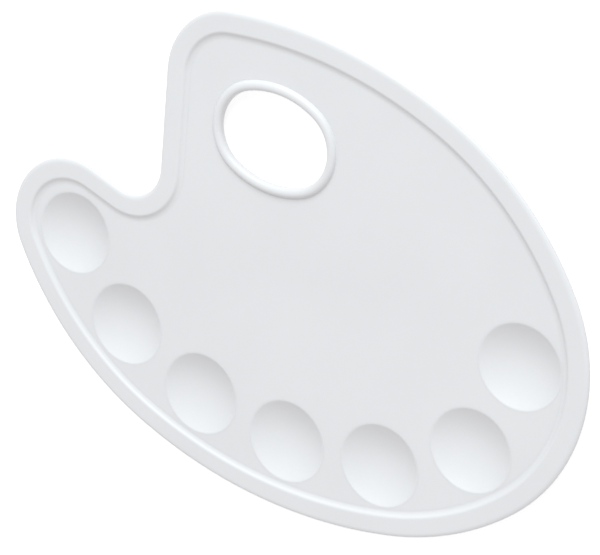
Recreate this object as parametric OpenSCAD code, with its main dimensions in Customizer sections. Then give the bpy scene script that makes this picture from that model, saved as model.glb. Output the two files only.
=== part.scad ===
// Artist's mixing palette: a thin oval board with a raised rim, a thumb hole with a
// rounded bead, a finger notch and seven round paint wells along the near edge.
// Millimetres, +Z up. The undersides of the wells stand at z = 0.

/* [Board] */
// Thickness of the board and of every wall
sheet = 1.8; // [1.6:0.1:2.2]
// Height of the rim's flat top above the mixing deck
rim_rise = 1.4; // [1.4:0.1:1.7]
// Width of the rim, from the outer edge to the foot of its inner slope
rim_w = 12.6; // [10:0.2:12.8]
// Steepest angle of the rim's inner slope
rim_slope = 41; // [34:1:41]
// Width of the rounding along the rim's outer top edge
edge_w = 2.4; // [1.2:0.2:3.2]
// Height of the rounding along the rim's outer top edge
edge_h = 1.2; // [0.6:0.1:1.3]

/* [Outline] */
// Radius of the round end beside the last well
end_r = 88; // [87:1:89]
// Radius of the shoulder between the round end and the top edge
shoulder_r = 160; // [159:1:161]
// Radius of the long top edge
top_r = 224; // [223:1:225]
// Radius shared by the horn above the finger notch and the lobe below it
nose_r = 34; // [33:1:35]
// Radius at the bottom of the finger notch
notch_r = 17; // [16:1:18]
// Radius of the near edge at the lobe's side
left_r = 162; // [161:1:163]
// Radius of the middle of the near edge
belly_r = 226; // [225:1:227]
// Radius of the near edge at the round end's side
right_r = 134; // [133:1:135]

/* [Thumb hole] */
// Length of the opening
hole_len = 56.8; // [50:0.2:60]
// Width of the opening
hole_wid = 42.2; // [40:0.2:43]
// Radius of the opening's two ends
hole_end_r = 19.1; // [17:0.1:19.6]
// Turn of the opening's long axis
hole_turn = 4.6; // [0:0.2:10]
// Width of the rounded bead
bead_w = 4.6; // [3.6:0.2:5.6]
// Height of the bead above the deck
bead_h = 1.9; // [1.5:0.1:2.3]
// Radius of the small fillet at the bead's outer foot
bead_fillet = 0.5; // [0.3:0.1:0.8]

/* [Paint wells] */
// Diameter of each well at the mouth
well_d = 40; // [34:0.5:40]
// Depth of each well below the deck
well_depth = 5.4; // [3.5:0.1:7]
// Height cut off the bulge under each well, which leaves a small flat foot
foot_trim = 0.15; // [0.1:0.05:0.4]
// Distance between the middles of two neighbouring wells
pitch = 50.2; // [49:0.2:51]
// Distance of the first well's middle from the outer edge
inset_first = 34.5; // [33.5:0.5:36]
// Distance of the last well's middle from the outer edge
inset_last = 33.5; // [33.5:0.5:36]

/* [Hidden] */
$fn = 96;

body_col = [0.90, 0.90, 0.91];
well_col = [0.86, 0.87, 0.89];
rim_col = [0.94, 0.94, 0.94];

// Height of the deck's top face above the wells' feet
deck_z = well_depth + sheet - foot_trim;

// Width of the flat collar round a well's mouth
collar = 0.5;
well_r = well_d / 2;
// Radius of the spherical bowl
bowl_r = (well_r * well_r + well_depth * well_depth) / (2 * well_depth);

// Middle of the thumb hole
hole_at = [-26.5, 59];
hole_d = hole_len / 2 - hole_end_r;
hole_b = hole_wid / 2;
hole_side_r = (hole_end_r * hole_end_r - hole_d * hole_d - hole_b * hole_b) / (2 * (hole_end_r - hole_b));
hole_h = hole_side_r - hole_b;
hole_a = atan2(hole_h, hole_d);
bead_r = bead_w / 2;
// Distance from the opening to the outer foot of the bead
bead_out = bead_r + sqrt(pow(bead_r + bead_fillet, 2) - bead_fillet * bead_fillet);

function dir(a) = [cos(a), sin(a)];

// The outline is a loop of nine arcs, each tangent to the next, with a straight on each
// side of the notch. th holds the outward direction where each arc starts and ends.
th = [-36, 42, 76, 106, 191, 82, 220, 258, 294, 324];
rr = [end_r, shoulder_r, top_r, nose_r, -notch_r, nose_r, left_r, belly_r, right_r];
last = len(rr) - 1;
// The two straights have the lengths that close the loop
function open_by(k) = rr[k] * (dir(th[k + 1]) - dir(th[k])) + (k > 0 ? open_by(k - 1) : [0, 0]);
miss = -open_by(last);
u1 = dir(th[4] + 90);
u2 = dir(th[5] + 90);
det = u1[0] * u2[1] - u1[1] * u2[0];
len1 = (miss[0] * u2[1] - miss[1] * u2[0]) / det;
len2 = (u1[0] * miss[1] - u1[1] * miss[0]) / det;
function chain(k) = k == 0 ? [0, 0] :
    chain(k - 1) + (rr[k - 1] - rr[k]) * dir(th[k]) + (k == 4 ? len1 * u1 : k == 5 ? len2 * u2 : [0, 0]);
// The board's bounding box is centred on the origin
mid = [(chain(0)[0] + rr[0] + chain(5)[0] - rr[5]) / 2, (chain(2)[1] + rr[2] + chain(7)[1] - rr[7]) / 2];
cen = [for (k = [0:last]) chain(k) - mid];
// A point of arc k in direction a, set in from the outline by s
function at(k, a, s) = cen[k] + (rr[k] - s) * dir(a);

// The wells stand in a row along the near edge, from the lobe round to the end, like
// compass steps of one pitch. Each is set in from the edge by a distance that changes
// evenly along the row. row_from is the outward direction at the first well.
row_from = 221.5;
wells = 7;
function edge_arc(a) = a < th[7] ? 6 : a < th[8] ? 7 : a < th[9] ? 8 : 0;
function set_in(i) = inset_first + (inset_last - inset_first) * i / (wells - 1);
function on_row(a, i) = at(edge_arc(a), a, set_in(i));
function seek(p, i, lo, hi, n) = n == 0 ? lo :
    norm(on_row((lo + hi) / 2, i) - p) < pitch ? seek(p, i, (lo + hi) / 2, hi, n - 1) : seek(p, i, lo, (lo + hi) / 2, n - 1);
function well_dir(i) = i == 0 ? row_from :
    let (b = well_dir(i - 1)) seek(on_row(b, i - 1), i, b, b + 75, 24);
well_at = [for (i = [0:wells - 1]) on_row(well_dir(i), i)];

// Stations along the outline as [arc, direction]. Each arc is stepped so that its chords
// stay within 0.04 mm of it, and both ends of each straight are stations.
function steps(k) = ceil(abs(th[k + 1] - th[k]) / (2 * acos(1 - 0.04 / abs(rr[k]))));
stations = [for (k = [0:last]) each [for (i = [0:steps(k) - (k == 3 || k == 4 ? 0 : 1)])
    [k, th[k] + (th[k + 1] - th[k]) * i / steps(k)]]];

// The board's flat shape, set in from the outline by s
module board(s) polygon([for (q = stations) at(q[0], q[1], s)]);

// The thumb hole's flat shape, grown by g
hole_c = [[hole_d, 0], [0, -hole_h], [-hole_d, 0], [0, hole_h]];
hole_r = [hole_end_r, hole_side_r, hole_end_r, hole_side_r];
hole_from = [-hole_a, hole_a, 180 - hole_a, 180 + hole_a, 360 - hole_a];
// Stations round the thumb hole as [arc, direction]
hole_steps = 32;
hole_stations = [for (k = [0:3]) for (i = [0:hole_steps - 1])
    [k, hole_from[k] + (hole_from[k + 1] - hole_from[k]) * i / hole_steps]];
function round_hole(q, g) = hole_c[q[0]] + (hole_r[q[0]] + g) * dir(q[1]);
module hole(g) translate(hole_at) rotate(hole_turn)
    polygon([for (q = hole_stations) round_hole(q, g)]);

// Cross-section of the rim: x runs in from the outer edge, y up from the deck's top face.
// A short outer wall, a broad rounding, a flat top, then a soft step down to the deck.
// Underneath it follows the top one sheet lower.
slope_top_r = 2;
slope_foot_r = 3.6;
slope_line = (rim_rise - (slope_top_r + slope_foot_r) * (1 - cos(rim_slope))) / sin(rim_slope);
slope_w = (slope_top_r + slope_foot_r) * sin(rim_slope) + slope_line * cos(rim_slope);
slope_x = rim_w - slope_w;
under_r = slope_foot_r + sheet;
under_a = acos(1 - rim_rise / under_r);
rim_shape = concat(
    [[0.3, rim_rise - sheet], [0, rim_rise - sheet + 0.3]],
    [for (i = [0:6]) [edge_w - edge_w * cos(i * 15), rim_rise - edge_h + edge_h * sin(i * 15)]],
    [for (i = [0:3]) [slope_x + slope_top_r * sin(i * rim_slope / 3), rim_rise - slope_top_r * (1 - cos(i * rim_slope / 3))]],
    [for (i = [4:-1:0]) [rim_w - slope_foot_r * sin(i * rim_slope / 4), slope_foot_r * (1 - cos(i * rim_slope / 4))]],
    [for (i = [0:4]) [rim_w - under_r * sin(i * under_a / 4), under_r * (1 - cos(i * under_a / 4)) - sheet]]);

// Cross-section of the bead: x runs out from the opening, y up from the deck's top face
fillet_a = asin(bead_fillet / (bead_r + bead_fillet));
bead_k = bead_h / bead_r;
bead_shape = concat(
    [[0, -sheet]],
    [for (i = [0:12]) [bead_r - bead_r * cos(i * (180 - fillet_a) / 12), bead_k * bead_r * sin(i * (180 - fillet_a) / 12)]],
    [for (i = [1:4]) [bead_out - bead_fillet * sin((90 - fillet_a) * (1 - i / 4)), bead_k * bead_fillet * (1 - cos((90 - fillet_a) * (1 - i / 4)))]],
    [[bead_out, -sheet]]);

module mixing_deck() color(body_col) {
    translate([0, 0, deck_z - sheet]) linear_extrude(sheet) difference() {
        board(rim_w);
        hole(bead_out);
        for (p = well_at) translate(p) circle(r = well_r + collar, $fn = 180);
    }
}

module outer_rim() color(rim_col) translate([0, 0, deck_z]) {
    n = len(stations);
    m = len(rim_shape);
    polyhedron(
        points = [for (q = stations) for (p = rim_shape) let (e = at(q[0], q[1], p[0])) [e[0], e[1], p[1]]],
        faces = [for (i = [0:n - 1]) for (j = [0:m - 1])
            [i * m + j, i * m + (j + 1) % m, ((i + 1) % n) * m + (j + 1) % m, ((i + 1) % n) * m + j]],
        convexity = 8);
}

module thumb_hole_bead() color(rim_col) translate([hole_at[0], hole_at[1], deck_z]) rotate([0, 0, hole_turn]) {
    n = len(hole_stations);
    m = len(bead_shape);
    polyhedron(
        points = [for (q = hole_stations) for (p = bead_shape) let (e = round_hole(q, p[0])) [e[0], e[1], p[1]]],
        faces = [for (i = [0:n - 1]) for (j = [0:m - 1])
            [((i + 1) % n) * m + j, ((i + 1) % n) * m + (j + 1) % m, i * m + (j + 1) % m, i * m + j]],
        convexity = 8);
}

// One well: a collar flush with the deck and a spherical bowl that bulges below it
module well(i) translate([well_at[i][0], well_at[i][1], 0]) {
    centre = deck_z - well_depth + bowl_r;
    difference() {
        union() {
            translate([0, 0, deck_z - sheet]) cylinder(h = sheet, r = well_r + collar);
            intersection() {
                translate([0, 0, centre]) sphere(r = bowl_r + sheet, $fn = 240);
                cylinder(h = deck_z - sheet, r = well_r + collar);
            }
        }
        translate([0, 0, centre]) sphere(r = bowl_r, $fn = 240);
    }
}

module paint_well_1() color(well_col) well(0);
module paint_well_2() color(well_col) well(1);
module paint_well_3() color(well_col) well(2);
module paint_well_4() color(well_col) well(3);
module paint_well_5() color(well_col) well(4);
module paint_well_6() color(well_col) well(5);
module paint_well_7() color(well_col) well(6);

mixing_deck();
outer_rim();
thumb_hole_bead();
paint_well_1();
paint_well_2();
paint_well_3();
paint_well_4();
paint_well_5();
paint_well_6();
paint_well_7();
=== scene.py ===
import bpy
import math
import numpy as np
from mathutils import Matrix, Vector
from mathutils.geometry import delaunay_2d_cdt


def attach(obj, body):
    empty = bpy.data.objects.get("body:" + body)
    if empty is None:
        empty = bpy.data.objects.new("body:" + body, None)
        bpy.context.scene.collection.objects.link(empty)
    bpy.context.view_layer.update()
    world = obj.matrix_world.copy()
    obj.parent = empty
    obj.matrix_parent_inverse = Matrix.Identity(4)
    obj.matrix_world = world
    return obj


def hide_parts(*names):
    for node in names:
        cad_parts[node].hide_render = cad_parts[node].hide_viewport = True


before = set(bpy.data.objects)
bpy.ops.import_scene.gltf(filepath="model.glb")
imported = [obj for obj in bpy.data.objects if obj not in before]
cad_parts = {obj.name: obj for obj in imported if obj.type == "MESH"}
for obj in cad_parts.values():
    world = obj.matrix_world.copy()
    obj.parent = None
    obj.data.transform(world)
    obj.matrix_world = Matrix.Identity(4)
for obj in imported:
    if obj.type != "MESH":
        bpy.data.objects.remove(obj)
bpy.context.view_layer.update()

# ---------------------------------------------------------------- dimensions (mm)
SHEET = 1.8
RIM_RISE, RIM_W, RIM_SLOPE, RIM_TOP_R, RIM_FOOT_R = 1.4, 12.6, 41.0, 2.0, 3.6
EDGE_W, EDGE_H = 2.4, 1.2
HOLE_LEN, HOLE_WID, HOLE_END_R, HOLE_TURN = 56.8, 42.2, 19.1, 4.6
HOLE_AT = (-26.5, 59.0)
BEAD_W, BEAD_H, BEAD_FILLET = 4.6, 1.9, 0.5
WELL_R, WELL_DEPTH, FOOT_TRIM, COLLAR = 20.0, 5.4, 0.15, 0.5
WELLS, PITCH, INSET_FIRST, INSET_LAST, ROW_FROM = 7, 50.2, 34.5, 33.5, 221.5
DECK_Z = WELL_DEPTH + SHEET - FOOT_TRIM
BOWL_R = (WELL_R ** 2 + WELL_DEPTH ** 2) / (2 * WELL_DEPTH)

TH = [-36, 42, 76, 106, 191, 82, 220, 258, 294, 324]
RR = [88, 160, 224, 34, -17, 34, 162, 226, 134]


def vec(a):
    a = math.radians(a)
    return np.array([math.cos(a), math.sin(a)])


# the loop of nine tangent arcs; the two straights beside the notch close it
miss = -sum(RR[k] * (vec(TH[k + 1]) - vec(TH[k])) for k in range(9))
LEN1, LEN2 = np.linalg.solve(np.stack([vec(TH[4] + 90), vec(TH[5] + 90)], 1), miss)
CEN = [np.zeros(2)]
for k in range(1, 9):
    c = CEN[-1] + (RR[k - 1] - RR[k]) * vec(TH[k])
    if k == 4:
        c = c + LEN1 * vec(TH[4] + 90)
    if k == 5:
        c = c + LEN2 * vec(TH[5] + 90)
    CEN.append(c)
MID = np.array([(CEN[0][0] + RR[0] + CEN[5][0] - RR[5]) / 2,
                (CEN[2][1] + RR[2] + CEN[7][1] - RR[7]) / 2])
CEN = [c - MID for c in CEN]



def on_row(a, i):
    """The point set in from the near edge by well i's distance, in outward direction a."""
    k = 6 if a < TH[7] else 7 if a < TH[8] else 8 if a < TH[9] else 0
    return CEN[k] + (RR[k] - INSET_FIRST - (INSET_LAST - INSET_FIRST) * i / (WELLS - 1)) * vec(a)


# the wells step along the near edge, one pitch apart
WELL_AT, a_w = [on_row(ROW_FROM, 0)], ROW_FROM
for i in range(1, WELLS):
    lo, hi = a_w, a_w + 75
    for _ in range(30):
        md = (lo + hi) / 2
        lo, hi = (md, hi) if np.linalg.norm(on_row(md, i) - WELL_AT[-1]) < PITCH else (lo, md)
    a_w = lo
    WELL_AT.append(on_row(a_w, i))

# stations round the outline: (point on the outline, inward direction)
STATIONS = []
for k in range(9):
    n = max(6, math.ceil(abs(RR[k]) * math.radians(abs(TH[k + 1] - TH[k])) / 1.4))
    straight = k in (3, 4)
    for i in range(n + (1 if straight else 0)):
        a = TH[k] + (TH[k + 1] - TH[k]) * i / n
        STATIONS.append((CEN[k] + RR[k] * vec(a), -vec(a)))
    if straight:
        ln = LEN1 if k == 3 else LEN2
        a = TH[k + 1]
        p = CEN[k] + RR[k] * vec(a)
        m = math.ceil(ln / 1.6)
        for i in range(1, m):
            STATIONS.append((p + vec(a + 90) * ln * i / m, -vec(a)))


def arc(cx, cy, r, a0, a1, n):
    """Points on an arc from a0 to a1 degrees, both ends included."""
    return [(cx + r * math.cos(math.radians(a0 + (a1 - a0) * i / n)),
             cy + r * math.sin(math.radians(a0 + (a1 - a0) * i / n))) for i in range(n + 1)]


def rounded(pts, radii, n=5):
    """A closed outline with each corner replaced by an arc of its own radius, 0 for a sharp one."""
    out = []
    m = len(pts)
    for i in range(m):
        p, a, b, r = (np.array(pts[i], float), np.array(pts[i - 1], float),
                      np.array(pts[(i + 1) % m], float), radii[i])
        if r <= 0:
            out.append(tuple(p))
            continue
        u, v = (a - p) / np.linalg.norm(a - p), (b - p) / np.linalg.norm(b - p)
        half = math.acos(max(-1, min(1, float(u @ v)))) / 2
        t = r / math.tan(half)
        c = p + (u + v) / np.linalg.norm(u + v) * (r / math.sin(half))
        s, e = p + u * t, p + v * t
        a0 = math.atan2(*(s - c)[::-1])
        a1 = math.atan2(*(e - c)[::-1])
        d = (a1 - a0 + math.pi) % (2 * math.pi) - math.pi
        for j in range(n + 1):
            q = a0 + d * j / n
            out.append((c[0] + r * math.cos(q), c[1] + r * math.sin(q)))
    return out


# ---------------------------------------------------------------- meshes
def make(name, verts, faces, node, mat, sharp=32):
    me = bpy.data.meshes.new(name)
    me.from_pydata([tuple(float(x) / 1000 for x in v) for v in verts], [], faces)
    me.validate(verbose=False)
    me.update()
    me.polygons.foreach_set("use_smooth", [True] * len(me.polygons))
    me.set_sharp_from_angle(angle=math.radians(sharp))
    o = bpy.data.objects.new(name, me)
    bpy.context.scene.collection.objects.link(o)
    me.materials.append(mat)
    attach(o, "root")
    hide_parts(node)
    return o


def loop_faces(n, m, flip=False):
    """Quads of n closed stations with m profile points each."""
    f = []
    for i in range(n):
        for j in range(m):
            q = (i * m + j, i * m + (j + 1) % m, ((i + 1) % n) * m + (j + 1) % m, ((i + 1) % n) * m + j)
            f.append(q[::-1] if flip else q)
    return f


# ---------------------------------------------------------------- material
def plastic(name, tint=(0.80, 0.80, 0.814), rough=0.42):
    m = bpy.data.materials.new(name)
    m.use_nodes = True
    nt = m.node_tree
    N, L = nt.nodes, nt.links
    N.clear()
    out = N.new("ShaderNodeOutputMaterial")
    b = N.new("ShaderNodeBsdfPrincipled")
    L.new(b.outputs[0], out.inputs[0])
    tc = N.new("ShaderNodeTexCoord")
    # faint cloudiness of the pigment
    n1 = N.new("ShaderNodeTexNoise")
    n1.inputs["Scale"].default_value = 14
    n1.inputs["Detail"].default_value = 4
    n1.inputs["Roughness"].default_value = 0.55
    L.new(tc.outputs["Object"], n1.inputs["Vector"])
    r1 = N.new("ShaderNodeValToRGB")
    r1.color_ramp.elements[0].position = 0.3
    r1.color_ramp.elements[1].position = 0.7
    r1.color_ramp.elements[0].color = (*[c * 0.985 for c in tint], 1)
    r1.color_ramp.elements[1].color = (*[min(1, c * 1.015) for c in tint], 1)
    L.new(n1.outputs["Fac"], r1.inputs["Fac"])
    L.new(r1.outputs["Color"], b.inputs["Base Color"])
    # handling marks change the gloss a little
    n2 = N.new("ShaderNodeTexNoise")
    n2.inputs["Scale"].default_value = 45
    n2.inputs["Detail"].default_value = 6
    n2.inputs["Roughness"].default_value = 0.62
    L.new(tc.outputs["Object"], n2.inputs["Vector"])
    r2 = N.new("ShaderNodeMapRange")
    r2.inputs["From Min"].default_value = 0.35
    r2.inputs["From Max"].default_value = 0.7
    r2.inputs["To Min"].default_value = rough - 0.04
    r2.inputs["To Max"].default_value = rough + 0.05
    L.new(n2.outputs["Fac"], r2.inputs["Value"])
    L.new(r2.outputs["Result"], b.inputs["Roughness"])
    # slow waviness of a thin moulding under a very fine grain
    n3 = N.new("ShaderNodeTexNoise")
    n3.inputs["Scale"].default_value = 22
    n3.inputs["Detail"].default_value = 1
    L.new(tc.outputs["Object"], n3.inputs["Vector"])
    n4 = N.new("ShaderNodeTexNoise")
    n4.inputs["Scale"].default_value = 1500
    n4.inputs["Detail"].default_value = 2
    L.new(tc.outputs["Object"], n4.inputs["Vector"])
    b1 = N.new("ShaderNodeBump")
    b1.inputs["Strength"].default_value = 0.35
    b1.inputs["Distance"].default_value = 0.0002
    L.new(n3.outputs["Fac"], b1.inputs["Height"])
    b2 = N.new("ShaderNodeBump")
    b2.inputs["Strength"].default_value = 0.12
    b2.inputs["Distance"].default_value = 0.00002
    L.new(n4.outputs["Fac"], b2.inputs["Height"])
    L.new(b1.outputs["Normal"], b2.inputs["Normal"])
    L.new(b2.outputs["Normal"], b.inputs["Normal"])
    b.inputs["IOR"].default_value = 1.5
    b.inputs["Subsurface Weight"].default_value = 0.12
    b.inputs["Subsurface Radius"].default_value = (1.0, 0.95, 0.9)
    b.inputs["Subsurface Scale"].default_value = 0.0015
    return m


mat_deck = plastic("palette_plastic_deck")
mat_rim = plastic("palette_plastic_rim")
mat_bead = plastic("palette_plastic_bead")
mat_well = plastic("palette_plastic_wells")

# ---------------------------------------------------------------- rim
# a short outer wall, a broad rounding, a flat top, then a soft step down to the deck
al = math.radians(RIM_SLOPE)
slope_line = (RIM_RISE - (RIM_TOP_R + RIM_FOOT_R) * (1 - math.cos(al))) / math.sin(al)
slope_x = RIM_W - (RIM_TOP_R + RIM_FOOT_R) * math.sin(al) - slope_line * math.cos(al)
under_r = RIM_FOOT_R + SHEET
under_a = math.degrees(math.acos(1 - RIM_RISE / under_r))
prof = arc(0.3, RIM_RISE - SHEET + 0.3, 0.3, 270, 180, 4)
prof += [(EDGE_W * (1 + u), RIM_RISE - EDGE_H * (1 - v)) for u, v in arc(0, 0, 1, 180, 90, 18)]
prof += [(4.0, RIM_RISE), (6.5, RIM_RISE), (slope_x - 0.3, RIM_RISE)]
prof += arc(slope_x, RIM_RISE - RIM_TOP_R, RIM_TOP_R, 90, 90 - RIM_SLOPE, 12)
prof += arc(RIM_W, RIM_FOOT_R, RIM_FOOT_R, 270 - RIM_SLOPE, 270, 16)
prof += arc(RIM_W, RIM_FOOT_R, under_r, 270, 270 - under_a, 12)
m = len(prof)
verts = []
for p, w in STATIONS:
    for s, z in prof:
        q = p + w * s
        verts.append((q[0], q[1], DECK_Z + z))
rim = make("rim_moulding", verts, loop_faces(len(STATIONS), m), "outer_rim", mat_rim)

# ---------------------------------------------------------------- thumb hole bead
hd = HOLE_LEN / 2 - HOLE_END_R
hb = HOLE_WID / 2
side_r = (HOLE_END_R ** 2 - hd ** 2 - hb ** 2) / (2 * (HOLE_END_R - hb))
hh = side_r - hb
ha = math.degrees(math.atan2(hh, hd))
HC = [(hd, 0), (0, -hh), (-hd, 0), (0, hh)]
HR = [HOLE_END_R, side_r, HOLE_END_R, side_r]
HA = [-ha, ha, 180 - ha, 180 + ha, 360 - ha]
turn = math.radians(HOLE_TURN)
ROT = np.array([[math.cos(turn), -math.sin(turn)], [math.sin(turn), math.cos(turn)]])
OVAL = []
for k in range(4):
    n = 48
    for i in range(n):
        a = HA[k] + (HA[k + 1] - HA[k]) * i / n
        OVAL.append((np.array(HOLE_AT) + ROT @ (np.array(HC[k]) + HR[k] * vec(a)), ROT @ vec(a)))
br = BEAD_W / 2
bead_out = br + math.sqrt((br + BEAD_FILLET) ** 2 - BEAD_FILLET ** 2)
bf = BEAD_FILLET - 0.05
foot = br + math.sqrt((br + bf) ** 2 - bf ** 2)
fa = math.degrees(math.asin(bf / (br + bf)))
bp = []
bp += arc(0.3, -SHEET + 0.3, 0.3, 270, 180, 4)
bp += [(0.0, -0.6)]
bead_k = BEAD_H / br
bp += [(x, z * bead_k) for x, z in arc(br, 0.0, br, 180, fa, 26) + arc(foot, bf, bf, 180 + fa, 270, 7)[1:]]
bp += [(bead_out, 0.0), (bead_out, -SHEET)]
verts = []
for p, w in OVAL:
    for s, z in bp:
        q = p + w * s
        verts.append((q[0], q[1], DECK_Z + z))
bead = make("thumb_hole_bead_moulding", verts, loop_faces(len(OVAL), len(bp), True), "thumb_hole_bead", mat_bead)

# ---------------------------------------------------------------- wells
SEG = 144
MOUTH = 1.8
zc = BOWL_R - WELL_DEPTH
xf = math.sqrt((BOWL_R + MOUTH) ** 2 - (zc + MOUTH) ** 2)
tilt = math.degrees(math.atan2(xf, zc + MOUTH))
outer = BOWL_R + SHEET
foot_r = math.sqrt(outer ** 2 - (outer - FOOT_TRIM) ** 2)
wp = [(0.0, -WELL_DEPTH)]
wp += [(BOWL_R * math.sin(math.radians(a)), zc - BOWL_R * math.cos(math.radians(a)))
       for a in np.linspace(0, tilt, 40)[1:]]
wp += arc(xf, -MOUTH, MOUTH, 90 + tilt, 90, 7)[1:]
wp += [(WELL_R + COLLAR, 0.0), (WELL_R + COLLAR, -SHEET)]
a_in = math.degrees(math.acos((zc + SHEET) / outer))
a_ft = math.degrees(math.asin(foot_r / outer))
wp += [(outer * math.sin(math.radians(a)), zc - outer * math.cos(math.radians(a)))
       for a in np.linspace(a_in, a_ft, 30)]
wp += [(0.0, -WELL_DEPTH - SHEET + FOOT_TRIM)]


def revolve(at, profile):
    v, f, ring = [], [], []
    for s, z in profile:
        if s < 1e-9:
            ring.append([len(v)])
            v.append((at[0], at[1], DECK_Z + z))
        else:
            ring.append(list(range(len(v), len(v) + SEG)))
            v += [(at[0] + s * math.cos(2 * math.pi * i / SEG), at[1] + s * math.sin(2 * math.pi * i / SEG), DECK_Z + z)
                  for i in range(SEG)]
    for a, b in zip(ring, ring[1:]):
        for i in range(SEG):
            j = (i + 1) % SEG
            if len(a) == 1:
                f.append((a[0], b[i], b[j]))
            elif len(b) == 1:
                f.append((a[i], b[0], a[j]))
            else:
                f.append((a[i], b[i], b[j], a[j]))
    return v, f


for i, at in enumerate(WELL_AT):
    v, f = revolve(at, wp)
    make(f"paint_well_{i + 1}_moulding", v, f, f"paint_well_{i + 1}", mat_well)

# ---------------------------------------------------------------- deck
loops = [[p + w * RIM_W for p, w in STATIONS], [p + w * bead_out for p, w in OVAL]]
for at in WELL_AT:
    r = WELL_R + COLLAR
    loops.append([np.array([at[0] + r * math.cos(2 * math.pi * i / SEG), at[1] + r * math.sin(2 * math.pi * i / SEG)])
                  for i in range(SEG)])
pts, edges = [], []
for lp in loops:
    o = len(pts)
    pts += [np.asarray(p, float) for p in lp]
    edges += [(o + i, o + (i + 1) % len(lp)) for i in range(len(lp))]
edge_pts = np.array(pts)


def inside(poly, q):
    x, y = poly[:, 0], poly[:, 1]
    x2, y2 = np.roll(x, -1), np.roll(y, -1)
    c = (y > q[1]) != (y2 > q[1])
    return bool(np.count_nonzero(c & (q[0] < (x2 - x) * (q[1] - y) / np.where(y2 == y, 1e-12, y2 - y) + x)) % 2)


polys = [np.array(lp) for lp in loops]


def on_deck(q):
    return inside(polys[0], q) and not any(inside(p, q) for p in polys[1:])


step = 5.0
for iy in range(-24, 25):
    for ix in range(-32, 33):
        q = np.array([ix * step + (step / 2 if iy % 2 else 0), iy * step * 0.9])
        if np.min(np.hypot(*(edge_pts - q).T)) > 2.4 and on_deck(q):
            pts.append(q)
V2, E2, F2, *_ = delaunay_2d_cdt([Vector(p) for p in pts], edges, [], 0, 1e-7)
V2 = [np.array(v) for v in V2]
F2 = [f for f in F2 if on_deck(sum(V2[i] for i in f) / len(f))]
used = sorted({i for f in F2 for i in f})
ix = {u: i for i, u in enumerate(used)}
nv = len(used)
verts = [(V2[u][0], V2[u][1], DECK_Z) for u in used] + [(V2[u][0], V2[u][1], DECK_Z - SHEET) for u in used]
faces = []
count = {}
for f in F2:
    a, b, c = (ix[i] for i in f)
    area = (V2[f[1]][0] - V2[f[0]][0]) * (V2[f[2]][1] - V2[f[0]][1]) - (V2[f[2]][0] - V2[f[0]][0]) * (V2[f[1]][1] - V2[f[0]][1])
    if area < 0:
        b, c = c, b
    faces.append((a, b, c))
    faces.append((a + nv, c + nv, b + nv))
    for e in ((a, b), (b, c), (c, a)):
        count[e] = count.get(e, 0) + 1
for (a, b) in list(count):
    if (b, a) not in count:
        faces.append((b, a, a + nv, b + nv))
deck = make("mixing_deck_moulding", verts, faces, "mixing_deck", mat_deck)

# ---------------------------------------------------------------- floor, light, camera
me = bpy.data.meshes.new("floor")
me.from_pydata([(-6, -6, -0.0002), (6, -6, -0.0002), (6, 6, -0.0002), (-6, 6, -0.0002)], [], [(0, 1, 2, 3)])
floor = bpy.data.objects.new("floor", me)
bpy.context.scene.collection.objects.link(floor)
fm = bpy.data.materials.new("floor_paper")
fm.use_nodes = True
fb = fm.node_tree.nodes["Principled BSDF"]
fb.inputs["Base Color"].default_value = (0.9, 0.9, 0.9, 1)
fb.inputs["Roughness"].default_value = 0.9
fb.inputs["Specular IOR Level"].default_value = 0.1
fb.inputs["Emission Color"].default_value = (1, 1, 1, 1)
fb.inputs["Emission Strength"].default_value = 0.44
me.materials.append(fm)
# the floor takes shadows but throws no bounce light up onto the palette's outer walls
floor.visible_diffuse = False

world = bpy.data.worlds.new("studio")
bpy.context.scene.world = world
world.use_nodes = True
bg = world.node_tree.nodes["Background"]
bg.inputs["Color"].default_value = (1.0, 0.985, 0.985, 1)
bg.inputs["Strength"].default_value = 0.665


def area(name, az, el, dist, size, power, color=(1, 1, 1), target=(0, 0, 0.005)):
    li = bpy.data.lights.new(name, "AREA")
    li.shape = "RECTANGLE"
    li.size, li.size_y = size
    li.energy = power
    li.color = color
    o = bpy.data.objects.new(name, li)
    bpy.context.scene.collection.objects.link(o)
    a, e = math.radians(az), math.radians(el)
    pos = Vector(target) + dist * Vector((math.cos(a) * math.cos(e), math.sin(a) * math.cos(e), math.sin(e)))
    o.location = pos
    o.rotation_euler = (Vector(target) - pos).to_track_quat("-Z", "Y").to_euler()
    return o


area("key_softbox", 97, 34, 6.0, (4.8, 3.6), 252, (0.89, 0.975, 1.0))

cam = bpy.data.cameras.new("camera")
cam.sensor_width = 36
cam.lens = 147.0
cam.clip_start, cam.clip_end = 0.05, 50
co = bpy.data.objects.new("camera", cam)
bpy.context.scene.collection.objects.link(co)
# the camera looks at CAM_AT on the deck, turned about its own axis by CAM_ROLL
CAM_AZ, CAM_EL, CAM_ROLL, CAM_DIST, CAM_AT = 49.87, 52.54, -117.47, 1107.5, (4.7, 2.9, DECK_Z)
ca, ce, cr = (math.radians(v) for v in (CAM_AZ, CAM_EL, CAM_ROLL))
back = Vector((math.cos(ca) * math.cos(ce), math.sin(ca) * math.cos(ce), math.sin(ce)))
level = Vector((-math.sin(ca), math.cos(ca), 0))
right = level * math.cos(cr) + back.cross(level) * math.sin(cr)
M = Matrix((right, back.cross(right), back)).transposed().to_4x4()
M.translation = (Vector(CAM_AT) + back * CAM_DIST) / 1000
co.matrix_world = M
bpy.context.scene.camera = co

bpy.context.scene.view_settings.view_transform = "Standard"
bpy.context.scene.view_settings.look = "None"
bpy.context.scene.view_settings.exposure = 0.0
bpy.context.scene.view_settings.gamma = 1.0
